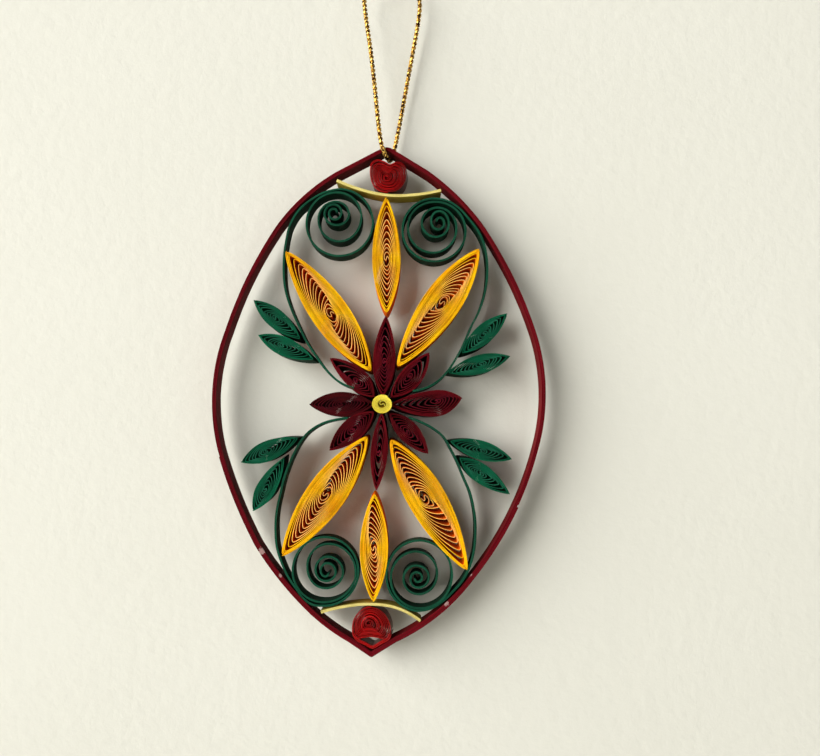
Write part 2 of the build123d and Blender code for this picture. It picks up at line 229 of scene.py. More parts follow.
def plies(line, radius, pitch, sides):
    """Two plies wound round a line. A ring's centre turns once in every pitch, at half the
    radius from the line, and the ring is an oval: half the radius deep and 0.72 of it wide,
    each way from its centre. The turn is counted from a side that is square to the line and to
    a slightly tilted upright."""
    along = np.gradient(line, axis=0)
    along /= np.linalg.norm(along, axis=1)[:, None]
    first = np.cross(along, (0, 0, 1.0) + 0.2 * along[:, ::-1])
    first /= np.linalg.norm(first, axis=1)[:, None]
    second = np.cross(along, first)
    twist = 2 * math.pi * run_of(line) / pitch
    points, faces = [], []
    count = len(line)
    for ply in (0, 1):
        turn = (twist + ply * math.pi)[:, None]
        out = np.cos(turn) * first + np.sin(turn) * second
        flat = -np.sin(turn) * first + np.cos(turn) * second
        centre = line + out * radius * 0.5
        start = sum(len(p) for p in points)
        angles = np.linspace(0, 2 * math.pi, sides, endpoint=False)
        ring = centre[:, None, :] + radius * (
            0.5 * np.cos(angles)[None, :, None] * out[:, None, :]
            + 0.72 * np.sin(angles)[None, :, None] * flat[:, None, :])
        points.append(ring.reshape(-1, 3))
        k = np.arange(count - 1)[:, None] * sides + np.arange(sides)[None, :]
        n = np.arange(count - 1)[:, None] * sides + (np.arange(sides)[None, :] + 1) % sides
        quads = np.stack((k, n, n + sides, k + sides), axis=-1).reshape(-1, 4) + start
        faces += quads.tolist()
        faces.append(list(range(start + sides - 1, start - 1, -1)))
        last = start + (count - 1) * sides
        faces.append(list(range(last, last + sides)))
    return np.vstack(points), faces


points, faces = plies(cord_line, radius=0.57 * MM, pitch=2.3 * MM, sides=10)
thread, add, link = nodes_of("golden_thread")
shader = add("ShaderNodeBsdfPrincipled", Roughness=0.3, Metallic=0.75)
place = add("ShaderNodeTexCoord")
fibres = add("ShaderNodeTexNoise", Scale=2400, Detail=3)
# Random dark brown patches among the gold are painted shade, standing for the shaded gaps between
# the thread's fibres.
tint = add("ShaderNodeTexNoise", Scale=1700, Detail=2)
painted_gap_shade = add("ShaderNodeMapRange", From_Min=0.44, From_Max=0.53)
mix = add("ShaderNodeMix", data_type="RGBA")
mix.inputs["A"].default_value = linear(66, 38, 8)
mix.inputs["B"].default_value = linear(240, 194, 98)
bump = add("ShaderNodeBump", Strength=0.6, Distance=0.0001)
out = add("ShaderNodeOutputMaterial")
link(place.outputs["Object"], fibres.inputs["Vector"])
link(place.outputs["Object"], tint.inputs["Vector"])
link(tint.outputs["Fac"], painted_gap_shade.inputs["Value"])
link(painted_gap_shade.outputs["Result"], mix.inputs["Factor"])
link(mix.outputs["Result"], shader.inputs["Base Color"])
link(fibres.outputs["Fac"], bump.inputs["Height"])
link(bump.outputs["Normal"], shader.inputs["Normal"])
link(shader.outputs["BSDF"], out.inputs["Surface"])
cord = show("cord_plies", mesh_of("cord_plies", points, faces), thread, "cord_thread",
            "hanging_cord")

# Hoop: five burgundy paper strips on edge, glued face to face round the almond-shaped opening,
# with one more strip round the upper part and two round the lower part and the tail.
BACK = 2.5 * MM
HALF_WIDTH, HALF_HEIGHT, TALL_SHARE = 38.2 * MM, 59.0 * MM, 1.545


def plan(points):
    """Places in shares of half the opening's width, as metres across and up."""
    points = np.array(points, float)
    across, up = points[:, 0] * HALF_WIDTH, points[:, 1] * HALF_HEIGHT / TALL_SHARE
    return np.column_stack((across, up + MIDDLE))


def through(points, count):
    """Smooth line through points: between two of them it is the cubic that has their places and
    their slopes, and a slope is that of the parabola through a point and its neighbours."""
    points = np.asarray(points, float)
    run = run_of(points)
    slopes = np.gradient(points, run, axis=0, edge_order=2 if len(points) > 2 else 1)
    marks = np.linspace(0, run[-1], count)
    k = np.clip(np.searchsorted(run, marks, "right") - 1, 0, len(run) - 2)
    width = (run[k + 1] - run[k])[:, None]
    t = ((marks - run[k])[:, None]) / width
    return ((1 + 2 * t) * (1 - t) ** 2 * points[k] + t * (1 - t) ** 2 * width * slopes[k]
            + t * t * (3 - 2 * t) * points[k + 1] + t * t * (t - 1) * width * slopes[k + 1])


def normals(line, closed=False):
    """Unit direction to the left of a line of (x, z) places, at each of them."""
    if closed:
        along = np.roll(line, -1, axis=0) - np.roll(line, 1, axis=0)
    else:
        along = np.gradient(line, axis=0)
    along /= np.linalg.norm(along, axis=1)[:, None]
    return np.column_stack((-along[:, 1], along[:, 0]))


def ribbons(lines, thickness, front=FRONT, back=BACK, closed=False, rough=0.0, seed=0, loose=None,
            tone=None, slip=None):
    """Paper strips on edge. Each place of a line carries a ring of eight points: half the
    thickness to each side of the line and from the front to the back, with cut corners. The
    front and back edges rise and fall by random waves with a knot each 6 mm, and the back edge
    may stand aside by a slip. Gives points, faces and marks: `edge` is 1 on the cut edges,
    `turn` is the given tone or a random wave with a knot each 9 mm, and `open` is as given."""
    chance = np.random.default_rng(seed)
    points, faces, edges, turns = [], [], [], []
    start = 0
    for line in lines:
        line = np.asarray(line)
        count = len(line)
        left = normals(line, closed)
        run = run_of(line)
        half = thickness / 2
        cut = min(0.04 * MM, half * 0.6)
        shift = np.zeros((3, count))
        for k, (size, length) in enumerate(((rough, 6), (rough, 6), (0.5, 9))):
            knots = max(int(run[-1] / (length * MM)), 3)
            wave = chance.uniform(-1, 1, knots)
            wave[-1] = wave[0] if closed else wave[-1]
            shift[k] = size * np.interp(run / run[-1] * (knots - 1), np.arange(knots), wave)
        f, b = front + shift[0], back + shift[1]
        inset = half - cut
        aside = np.array((-half, -inset, inset, half, half, inset, -inset, -half))
        depth = np.column_stack((f + cut, f, f, f + cut, b - cut, b, b, b - cut))
        flat = line[:, None, :] + aside[None, :, None] * left[:, None, :]
        if slip is not None:
            flat[:, 4:] += slip[:, None, :]
        ring = np.stack((flat[..., 0], depth, flat[..., 1]), axis=-1)
        points.append(ring.reshape(-1, 3))
        i = np.arange(count if closed else count - 1)[:, None]
        j = np.arange(8)[None, :]
        near, far = i * 8, ((i + 1) % count) * 8
        quads = np.stack((near + j, far + j, far + (j + 1) % 8, near + (j + 1) % 8), axis=-1)
        faces += (quads.reshape(-1, 4) + start).tolist()
        if not closed:
            faces.append(list(range(start, start + 8)))
            faces.append(list(range(start + count * 8 - 1, start + count * 8 - 9, -1)))
        edges.append(np.tile((0, 1, 1, 0, 0, 1, 1, 0), count))
        turns.append(np.repeat(0.5 + shift[2] if tone is None else tone, 8))
        start += count * 8
    opened = np.zeros(start) if loose is None else np.repeat(loose, 8)
    return np.vstack(points), faces, dict(
        edge=np.concatenate(edges), turn=np.concatenate(turns), open=opened)


def paper(name, face, cut, open_edge_highlight=None, *, shade, roughness=0.8, gloss=0.25, worn=()):
    """Dyed paper: the face colour, painted darker than the cut edge as painted shade for the gaps
    between the turns, a paler colour painted on the cut edge where a strip stands open as a
    painted highlight, slow and fine changes of tone, and a fibre bump. `worn` lists places
    (x, z, size) where pale glue or paper worn pale shows: it shows within 2.2 times the fibre
    noise, less 0.15, times the size."""
    material, add, link = nodes_of(name)
    shader = add("ShaderNodeBsdfPrincipled", Roughness=roughness)
    shader.inputs["Specular IOR Level"].default_value = gloss
    place = add("ShaderNodeTexCoord")
    edge = add("ShaderNodeAttribute", attribute_name="edge")
    turn = add("ShaderNodeAttribute", attribute_name="turn")
    loose = add("ShaderNodeAttribute", attribute_name="open")
    fibre = add("ShaderNodeTexNoise", Scale=2600, Detail=4, Roughness=0.65)
    patch = add("ShaderNodeTexNoise", Scale=260, Detail=3)
    link(place.outputs["Object"], fibre.inputs["Vector"])
    link(place.outputs["Object"], patch.inputs["Vector"])
    # Where a strip stands open, its cut edge turns paler: a painted highlight on the thin open
    # edges.
    rim = add("ShaderNodeMix", data_type="RGBA")
    rim.inputs["A"].default_value = linear(*cut)
    rim.inputs["B"].default_value = linear(*(open_edge_highlight or cut))
    link(loose.outputs["Fac"], rim.inputs["Factor"])
    # The faces take a darker colour than the cut edges: painted shade for the gaps between the
    # turns.
    mix = add("ShaderNodeMix", data_type="RGBA")
    mix.inputs["A"].default_value = linear(*face)
    link(rim.outputs["Result"], mix.inputs["B"])
    amount = add("ShaderNodeMath", operation="MULTIPLY")
    link(edge.outputs["Fac"], amount.inputs[0])
    ramp = add("ShaderNodeMapRange", From_Min=0.3, From_Max=0.7, To_Min=0.6, To_Max=1.0)
    link(patch.outputs["Fac"], ramp.inputs["Value"])
    link(ramp.outputs["Result"], amount.inputs[1])
    link(amount.outputs["Value"], mix.inputs["Factor"])
    tone = add("ShaderNodeHueSaturation")
    both = add("ShaderNodeMath", operation="ADD")
    link(turn.outputs["Fac"], both.inputs[0])
    link(fibre.outputs["Fac"], both.inputs[1])
    value = add("ShaderNodeMath", operation="MULTIPLY_ADD")
    value.inputs[1].default_value, value.inputs[2].default_value = shade, 1 - shade
    link(both.outputs["Value"], value.inputs[0])
    link(value.outputs["Value"], tone.inputs["Value"])
    link(mix.outputs["Result"], tone.inputs["Color"])
    color = tone.outputs["Color"]
    for x, z, size in worn:
        spot = add("ShaderNodeVectorMath", operation="DISTANCE")
        spot.inputs[1].default_value = (x, FRONT, z)
        link(place.outputs["Object"], spot.inputs[0])
        ring = add("ShaderNodeMath", operation="MULTIPLY_ADD")
        ring.inputs[1].default_value, ring.inputs[2].default_value = -2.2 * size, 0.0
        link(fibre.outputs["Fac"], ring.inputs[0])
        away = add("ShaderNodeMath", operation="ADD")
        link(spot.outputs["Value"], away.inputs[0])
        link(ring.outputs["Value"], away.inputs[1])
        near = add("ShaderNodeMath", operation="LESS_THAN")
        near.inputs[1].default_value = -0.15 * size
        link(away.outputs["Value"], near.inputs[0])
        pale = add("ShaderNodeMix", data_type="RGBA")
        pale.inputs["B"].default_value = linear(170, 136, 132)
        link(near.outputs["Value"], pale.inputs["Factor"])
        link(color, pale.inputs["A"])
        color = pale.outputs["Result"]
    link(color, shader.inputs["Base Color"])
    bump = add("ShaderNodeBump", Strength=0.35, Distance=0.00006)
    link(fibre.outputs["Fac"], bump.inputs["Height"])
    link(bump.outputs["Normal"], shader.inputs["Normal"])
    out = add("ShaderNodeOutputMaterial")
    link(shader.outputs["BSDF"], out.inputs["Surface"])
    return material


left_side = (
    (-0.286, 1.389), (-0.476, 1.245), (-0.654, 1.034), (-0.821, 0.715), (-0.944, 0.370),
    (-1.006, -0.010), (-0.955, -0.359), (-0.839, -0.654), (-0.704, -0.916), (-0.548, -1.118),
    (-0.351, -1.315), (-0.238, -1.400), (-0.124, -1.467),
)
right_side = (
    (0.248, 1.405), (0.418, 1.270), (0.600, 1.067), (0.787, 0.759), (0.933, 0.421),
    (1.000, 0.059), (0.958, -0.306), (0.804, -0.728), (0.578, -1.086), (0.330, -1.338),
    (0.131, -1.459),
)


def arc(start, over, end, count):
    """Circle's arc from a place over the next to the one after it: its centre is as far from all
    three, and the angle runs evenly from the first to the last."""
    sides = np.array((over - start, end - start))
    centre = start + np.linalg.solve(2 * sides, (sides ** 2).sum(axis=1))
    angles = np.unwrap([math.atan2(*(p - centre)[::-1]) for p in (start, over, end)])
    a = np.linspace(angles[0], angles[2], count)
    return centre + np.linalg.norm(start - centre) * np.column_stack((np.cos(a), np.sin(a)))


def rounded(before, corner, after, radius):
    """Arc that rounds off a corner: it touches both sides at the radius over the tangent of half
    the angle between them."""
    sides = [(p - corner) / np.linalg.norm(p - corner) for p in (before, after)]
    half = math.acos(float(sides[0] @ sides[1])) / 2
    middle = (sides[0] + sides[1]) / np.linalg.norm(sides[0] + sides[1])
    over = corner + middle * radius * (1 / math.sin(half) - 1)
    touch = [corner + side * radius / math.tan(half) for side in sides]
    return arc(touch[0], over, touch[1], 25)


fold_slope, fold_radius, tail_radius = math.radians(30.5), 1.6 * MM, 0.5 * MM


def hoop_line(grow):
    """Closed line of the hoop, clockwise from the top fold, grown outward from the opening. Each
    side's places move outward by the growth, and a fold's corner moves up or down by the growth
    over the cosine of its slope. The line is straight from a corner to the first place, goes by
    arcs through the others, and both corners are rounded off. The top corner stands over the
    rounded fold by the radius times one over that cosine, less one."""
    slant = math.cos(fold_slope)
    peak = MIDDLE + HALF_HEIGHT + fold_radius * (1 / slant - 1)
    foot = MIDDLE - HALF_HEIGHT
    high, low = np.array((0, peak + grow / slant)), np.array((0, foot - grow / slant))
    sides = []
    for shares, outward in ((left_side, -grow), (right_side, grow)):
        ends = np.vstack((((0, peak),), plan(shares), ((0, foot),)))
        along = ends[2:] - ends[:-2]
        along /= np.linalg.norm(along, axis=1)[:, None]
        moved = ends[1:-1] + outward * np.column_stack((-along[:, 1], along[:, 0]))
        sides.append(np.vstack([arc(*moved[k:k + 3], 61)[:-1] for k in range(0, len(moved) - 2, 2)]
                               + [moved[-1:]]))
    left, right = sides
    over = rounded(left[0], high, right[0], fold_radius + grow)
    under = rounded(right[-1], low, left[-1], tail_radius)
    return np.vstack((over, right, under, left[::-1]))


worn_spots = (
    (-26.08 * MM, MIDDLE - 36.86 * MM, 0.8 * MM), (-23.14 * MM, MIDDLE - 38.04 * MM, 0.4 * MM),
    (-21.57 * MM, MIDDLE - 42.33 * MM, 0.4 * MM), (22.35 * MM, MIDDLE - 40.88 * MM, 0.4 * MM),
    (16.96 * MM, MIDDLE - 47.62 * MM, 0.6 * MM),
)
burgundy = paper("burgundy_paper", (90, 2, 12), (104, 10, 26), shade=0.5, gloss=0.12,
                 worn=worn_spots)
strip, wrap_strip = 0.16 * MM, 0.18 * MM
layers = [hoop_line((k + 0.5) * strip) for k in range(5)]
points, faces, marks = ribbons(layers, thickness=0.142 * MM, closed=True, rough=0.09 * MM, seed=1)
show("hoop_band", mesh_of("hoop_band", points, faces, **marks), burgundy, "hoop_paper",
     "frame_band")


def part_of_hoop(grow, first, last):
    """The grown hoop's line from the place nearest the first point to that nearest the last
    one, clockwise."""
    line = hoop_line(grow)
    a = int(np.argmin(np.linalg.norm(line - first, axis=1)))
    b = int(np.argmin(np.linalg.norm(line - last, axis=1)))
    order = np.arange(a, b + (len(line) if b <= a else 0) + 1) % len(line)
    return line[order]


left_step, right_step = plan(((-0.964, -0.408), (0.861, -0.663)))
below = [part_of_hoop(5 * strip + (k + 0.5) * wrap_strip, right_step, left_step) for k in range(2)]
points, faces, marks = ribbons(below, thickness=0.172 * MM, rough=0.09 * MM, seed=2)
show("hoop_wrap_lower", mesh_of("hoop_wrap_lower", points, faces, **marks), burgundy, "hoop_paper",
     "frame_wrap_lower")
above = part_of_hoop(5.5 * strip, left_step + (0, 0.3 * MM), right_step + (0, 0.6 * MM))
points, faces, marks = ribbons([above], thickness=0.152 * MM, rough=0.09 * MM, seed=3)
show("hoop_wrap_upper", mesh_of("hoop_wrap_upper", points, faces, **marks), burgundy, "hoop_paper",
     "frame_wrap_upper")

# Bars: two pale yellow bars, each a paper strip folded over itself into four layers, bent and
# glued between the sides of the hoop, one under the top coil and one over the bottom coil.
bar_shares = {
    "bar_top": ((-0.309, 1.348), (-0.158, 1.293), (0.016, 1.261), (0.175, 1.268), (0.347, 1.302)),
    "bar_bottom": (
        (-0.312, -1.321), (-0.170, -1.283), (-0.025, -1.265), (0.127, -1.278), (0.289, -1.355)),
}
bar_step = 0.165 * MM
# Its faces are far darker than its cut edges: painted shade on the bars' shaded faces.
bar_yellow = paper("pale_yellow_paper", (166, 146, 52), (236, 222, 142), shade=0.35)
for seed, (name, shares) in enumerate(bar_shares.items(), 4):
    line = through(plan(shares), 90)
    left = normals(line)
    layers = [line + left * (k - 1.5) * bar_step for k in range(4)]
    points, faces, marks = ribbons(layers, thickness=0.15 * MM, rough=0.05 * MM, seed=seed)
    show(name, mesh_of(name, points, faces, **marks), bar_yellow, "bar_paper", name)

# Vines: four dark green paper strips of three layers, each a stem from the flower along the hoop
# that ends in an open scroll of four turns and a quarter, glued to the hoop along its bend.
quarter_drift = (0, 0, 0, 0, 0.05, 0.2, 0.3, 0.5, 0.65, 0.75, 0.85, 0.92, 1, 1, 1, 1, 1, 1)


def vine(stem, centre, eye, radius, first_angle, turning, radii):
    """Line of a vine: smooth through the stem's places, then the scroll, whose radius at each
    quarter turn is a share of its size, while its centre drifts to the eye by the shares in
    quarter_drift."""
    quarters = np.arange(len(radii))
    fine = np.linspace(0, len(radii) - 1, (len(radii) - 1) * 20 + 1)
    share = through(np.column_stack((quarters, radii)), len(fine) * 4)
    share = np.interp(fine, share[:, 0], share[:, 1])
    moved = np.interp(fine, quarters, quarter_drift)[:, None]
    angle = math.radians(first_angle) + turning * fine * math.pi / 2
    spiral = (np.array(centre) + (np.array(eye) - centre) * moved
              + radius * share[:, None] * np.column_stack((np.cos(angle), np.sin(angle))))
    stem = through(np.vstack((stem, spiral[:1])), 260)
    return plan(np.vstack((stem[:-1], spiral)))


# Stem, then the scroll's centre, eye, size, first angle, way round and radii.
vines = {
    "vine_upper_left": ((
        (-0.160, 0.036), (-0.245, 0.068), (-0.342, 0.150), (-0.399, 0.224), (-0.464, 0.316),
        (-0.517, 0.415), (-0.572, 0.531), (-0.609, 0.637), (-0.627, 0.780), (-0.619, 0.945),
        (-0.597, 1.055), (-0.546, 1.150), (-0.474, 1.219), (-0.385, 1.273)),
        (-0.286, 1.078), (-0.316, 1.140), 0.217, 90, -1,
        (1.01, 1.00, 1.00, 0.96, 0.89, 0.68, 0.66, 0.55, 0.45, 0.40,
         0.34, 0.32, 0.26, 0.22, 0.22, 0.18, 0.13, 0.08)),
    "vine_upper_right": ((
        (0.205, 0.028), (0.239, 0.034), (0.356, 0.090), (0.414, 0.151), (0.482, 0.260),
        (0.527, 0.355), (0.561, 0.441), (0.612, 0.551), (0.645, 0.672), (0.655, 0.790),
        (0.646, 0.900), (0.626, 0.979), (0.588, 1.057), (0.534, 1.125), (0.466, 1.196),
        (0.392, 1.240)),
        (0.3155, 1.0465), (0.340, 1.102), 0.208, 90, 1,
        (0.99, 1.00, 0.98, 0.95, 0.88, 0.86, 0.79, 0.61, 0.54, 0.51,
         0.45, 0.33, 0.34, 0.26, 0.27, 0.18, 0.14, 0.09)),
    "vine_lower_left": ((
        (-0.190, -0.140), (-0.235, -0.146), (-0.371, -0.190), (-0.440, -0.243),
        (-0.482, -0.300), (-0.518, -0.371), (-0.548, -0.448), (-0.572, -0.525),
        (-0.590, -0.612), (-0.606, -0.699), (-0.613, -0.780), (-0.611, -0.850),
        (-0.597, -0.949), (-0.569, -1.027), (-0.525, -1.115), (-0.473, -1.185),
        (-0.428, -1.242), (-0.368, -1.281)),
        (-0.303, -1.080), (-0.288, -1.084), 0.209, 270, 1,
        (0.99, 1.02, 1.02, 0.93, 0.89, 0.93, 0.82, 0.53, 0.48, 0.52,
         0.47, 0.33, 0.27, 0.29, 0.29, 0.18, 0.13, 0.08)),
    "vine_lower_right": ((
        (0.188, -0.127), (0.266, -0.153), (0.338, -0.189), (0.405, -0.241), (0.450, -0.312),
        (0.496, -0.398), (0.536, -0.488), (0.577, -0.579), (0.600, -0.665), (0.613, -0.746),
        (0.616, -0.836), (0.607, -0.940), (0.581, -1.035), (0.542, -1.110), (0.483, -1.180),
        (0.425, -1.238), (0.355, -1.284)),
        (0.275, -1.0905), (0.261, -1.103), 0.212, 270, -1,
        (1.00, 0.96, 1.03, 0.96, 0.92, 0.82, 0.73, 0.56, 0.49, 0.42,
         0.37, 0.36, 0.28, 0.20, 0.19, 0.17, 0.12, 0.07)),
}
vine_step, first_layer = 0.165 * MM, 0.02 * MM
# Its faces are darker than its cut edges: painted shade inside the scrolls.
vine_green = paper("dark_green_paper", (1, 46, 30), (22, 82, 60), shade=0.45, gloss=0.15)
for seed, (name, parts) in enumerate(vines.items(), 10):
    line = vine(*parts)
    turning = parts[-2]
    left = normals(line) * turning
    layers = [line + left * (first_layer + k * vine_step) for k in range(3)]
    points, faces, marks = ribbons(layers, thickness=0.155 * MM, rough=0.08 * MM, seed=seed)
    show(name, mesh_of(name, points, faces, **marks), vine_green, "vine_paper", name)

# Petals: golden yellow paper strips rolled loosely, pinched at both ends and glued, so that the
# turns lie tight along the sides and spring apart towards the tips.


def pinched(coil, rim, gaps, leans, eye, seed, spread, lag, blunt):
    """Line of a pinched coil, how open its places are, its tone and its slip.

    Angle runs round the eye once a turn. Along the coil a place is the cosine times the turn's
    reach. Across it, it is the sine times the turn's half width, sharpened by the sine's blunted
    size to a power that falls from 1 outside to 0.2 at the eye, plus the cosine cubed times a
    share of the lean, which grows from the rim inward and fades near the eye. Half widths shrink
    by a step each turn, and by more further in, so that turns of the mean spread fill the coil.
    Reaches shrink by one and a half steps each turn in the rim, then, after a first gap, by the
    power 1.2 of the turns left, slightly at random. The strip ends in an S through the eye: its
    radius falls evenly past zero, and its angle is 2.9 radians times one less the radius squared.
    The back edges stand nearer the inner tip by the lag times 0.4 plus 0.6 of the cosine's size
    to the power 1.5."""
    outer, inner, share, half_widths = coil
    outer, inner = plan((outer, inner))
    chance = np.random.default_rng(seed)
    length = np.linalg.norm(outer - inner)
    ahead = (outer - inner) / length
    aside = np.array((-ahead[1], ahead[0]))
    centre = outer - ahead * length * share
    step, eye = 0.21 * MM, np.array(eye) * MM
    starts = np.array(half_widths) * HALF_WIDTH - step / 2
    total = int((starts.min() - eye[1]) / (spread * MM))
    k = np.arange(total + 1)
    widths = [w - step * k - (w - eye[1] - step * total) * (k / total) ** 2 for w in starts]
    u = np.linspace(0, total, total * 72 + 1)
    angle = 2 * math.pi * u
    c, s = np.cos(angle), np.sin(angle)
    reaches, offsets = [], []
    for reach, gap, lean in zip((length * share, length * (1 - share)), gaps, leans):
        ring = reach - 1.5 * step * (0.4 + np.arange(rim))
        left = np.arange(total - rim, -1, -1) / (total - rim)
        inside = eye[0] + (ring[-1] - gap * MM - eye[0]) * left ** 1.2
        wander = chance.uniform(-0.17, 0.17, len(inside)) * np.gradient(-inside)
        wander[-1] = 0
        turns = np.concatenate((ring, inside + wander))
        here = np.interp(u, k, turns[:total + 1])
        near = np.clip((here - eye[0]) / (2.2 * MM), 0, 1)
        grown = np.clip((ring[-1] - here) / reach, 0, 1) ** 0.55 * near * near * (3 - 2 * near)
        reaches.append(here)
        offsets.append(lean * MM * grown)
    front = c > 0
    reach, offset = (np.where(front, *pair) for pair in (reaches, offsets))
    width = np.where(s > 0, np.interp(u, k, widths[0]), np.interp(u, k, widths[1]))
    sharp = np.interp(u, (0, rim, total), (1.0, 0.9, 0.2))
    size = np.sqrt((s * s + blunt) / (1 + blunt))
    along = c * reach
    beside = s * size ** sharp * width + offset * c ** 3
    loose = np.clip((u - rim) / 1.5, 0, 1) * np.abs(c) ** 1.5
    r = np.linspace(1, -0.72, 60)[1:]
    a = 2.9 * (1 - r * r)
    along = np.concatenate((along, r * eye[0] * np.cos(a)))
    beside = np.concatenate((beside, r * eye[1] * np.sin(a)))
    line = centre + along[:, None] * ahead + beside[:, None] * aside
    loose = np.concatenate((loose, np.ones(len(r))))
    tone = np.interp(u, np.arange(total + 1), chance.uniform(0, 1, total + 1))
    tone = np.concatenate((tone, np.full(len(r), tone[-1])))
    behind = np.concatenate((0.4 + 0.6 * np.abs(c) ** 1.5, np.ones(len(r))))[:, None]
    return line, loose, tone, -lag * MM * behind * ahead


def rolled(name, parts, material, slot, seed, *, eye, thickness, spread, lag, blunt, darker=0.0):
    """Piece of one pinched coil: its line as a ribbon, whose tone may be darker. Its eye,
    thickness, spread and lag are in millimetres."""
    line, loose, tone, slip = pinched(*parts, eye, seed, spread, lag, blunt)
    points, faces, marks = ribbons([line], thickness=thickness * MM, rough=0.15 * MM, seed=seed,
                                   loose=loose, tone=tone - darker, slip=slip)
    show(name, mesh_of(name, points, faces, **marks), material, slot, name)


# Outer and inner tip, the eye's share of the way in, the half widths to both sides, the turns in
# the rim, and the gaps and leans at the outer and the inner tip, in millimetres.
petals = {
    "petal_top": (
        ((0.007, 1.247), (0.029, 0.512), 0.53, (0.092, 0.092)), 4, (0.9, 1.0), (0.0, 0.3)),
    "petal_upper_right": (
        ((0.600, 0.934), (0.106, 0.182), 0.46, (0.120, 0.120)), 5, (1.2, 1.1), (-1.8, -1.8)),
    "petal_lower_right": (
        ((0.562, -1.047), (0.077, -0.269), 0.55, (0.128, 0.112)), 5, (1.5, 1.1), (2.7, 1.5)),
    "petal_bottom": (
        ((0.000, -1.251), (-0.011, -0.602), 0.49, (0.089, 0.089)), 4, (0.9, 1.0), (0.8, 1.6)),
    "petal_lower_left": (
        ((-0.562, -0.991), (-0.065, -0.254), 0.51, (0.121, 0.122)), 5, (1.2, 1.7), (0.7, 1.6)),
    "petal_upper_left": (
        ((-0.609, 0.886), (-0.055, 0.150), 0.53, (0.120, 0.120)), 5, (1.2, 1.1), (-1.8, -1.8)),
}
# Its faces, far darker and redder than the cut edges, are painted shade for the deep gaps between
# the turns.
golden = paper("golden_paper", (206, 92, 1), (254, 206, 16), (248, 198, 116), shade=0.5,
               gloss=0.1)
for seed, (name, parts) in enumerate(petals.items(), 20):
    eye = (1.5, 0.75) if name in ("petal_top", "petal_bottom") else (1.6, 1.0)
    rolled(name, parts, golden, "yellow_paper", seed,
           eye=eye, thickness=0.17, spread=0.21, lag=0.7, blunt=0.3)

# Flower: eight maroon paper strips, rolled and pinched as the petals are but smaller, glued
# side by side round the middle.
flower = {
    "flower_petal_top": (
        ((0.028, 0.496), (0.022, -0.004), 0.58, (0.073, 0.073)), 3, (0.3, 1.0), (0.5, 0.5)),
    "flower_petal_upper_right": (
        ((0.304, 0.273), (0.070, -0.012), 0.53, (0.058, 0.084)), 3, (0.3, 1.0), (0.8, 0.8)),
    "flower_petal_right": (
        ((0.513, -0.006), (0.073, -0.054), 0.36, (0.068, 0.100)), 3, (0.45, 1.0), (0.8, 0.8)),
    "flower_petal_lower_right": (
        ((0.308, -0.352), (0.066, -0.106), 0.54, (0.072, 0.062)), 3, (0.45, 1.0), (0.8, 0.8)),
    "flower_petal_bottom": (
        ((-0.003, -0.583), (0.019, -0.108), 0.50, (0.055, 0.055)), 3, (0.45, 1.0), (0.3, 0.3)),
    "flower_petal_lower_left": (
        ((-0.299, -0.345), (-0.030, -0.100), 0.54, (0.070, 0.076)), 3, (0.45, 1.0), (0.8, 0.8)),
    "flower_petal_left": (
        ((-0.431, -0.064), (-0.030, -0.056), 0.50, (0.080, 0.080)), 3, (0.45, 1.0), (0.8, 0.8)),
    "flower_petal_upper_left": (
        ((-0.312, 0.226), (-0.030, -0.012), 0.60, (0.058, 0.084)), 3, (0.2, 1.0), (0.8, 0.8)),
}
# Its faces, darker than the cut edges, are painted shade for the gaps between the turns.
maroon = paper("maroon_paper", (46, 0, 5), (100, 5, 22), (112, 24, 42), shade=0.5, gloss=0.1)
for seed, (name, parts) in enumerate(flower.items(), 30):
    rolled(name, parts, maroon, "maroon_paper", seed,
           eye=(0.9, 0.5), thickness=0.186, spread=0.23, lag=1.2, blunt=0.2,
           darker=0.9 if name == "flower_petal_left" else 0.0)

# Leaves: eight green paper strips, rolled and pinched into small coils, which stand in pairs
# outside the stems and are glued to them by their tips.
leaves = {
    "leaf_upper_left_high": (
        ((-0.800, 0.575), (-0.500, 0.336), 0.47, (0.062, 0.062)), 2, (0.5, 0.8), (0.8, 0.8)),
    "leaf_upper_left_low": (
        ((-0.763, 0.357), (-0.412, 0.211), 0.45, (0.062, 0.062)), 2, (0.5, 0.8), (0.8, 0.8)),
    "leaf_upper_right_high": (
        ((0.782, 0.531), (0.502, 0.275), 0.51, (0.062, 0.062)), 2, (0.5, 0.8), (0.8, 0.8)),
    "leaf_upper_right_low": (
        ((0.804, 0.263), (0.420, 0.152), 0.48, (0.062, 0.062)), 2, (0.5, 0.8), (0.8, 0.8)),
    "leaf_lower_left_high": (
        ((-0.836, -0.432), (-0.490, -0.275), 0.45, (0.065, 0.065)), 2, (0.5, 0.8), (0.8, 0.8)),
    "leaf_lower_left_low": (
        ((-0.752, -0.728), (-0.572, -0.398), 0.41, (0.062, 0.062)), 2, (0.5, 0.8), (0.8, 0.8)),
    "leaf_lower_right_high": (
        ((0.825, -0.372), (0.443, -0.270), 0.50, (0.062, 0.062)), 2, (0.5, 0.8), (0.8, 0.8)),
    "leaf_lower_right_low": (
        ((0.815, -0.585), (0.502, -0.370), 0.58, (0.062, 0.062)), 2, (0.5, 0.8), (0.8, 0.8)),
}
# Its faces, darker than the cut edges, are painted shade for the gaps between the turns.
leaf_green = paper("leaf_green_paper", (1, 44, 28), (8, 98, 68), (44, 114, 88), shade=0.4,
                   gloss=0.12)
for seed, (name, parts) in enumerate(leaves.items(), 40):
    rolled(name, parts, leaf_green, "leaf_paper", seed,
           eye=(0.8, 0.5), thickness=0.178, spread=0.22, lag=1.0, blunt=0.09)

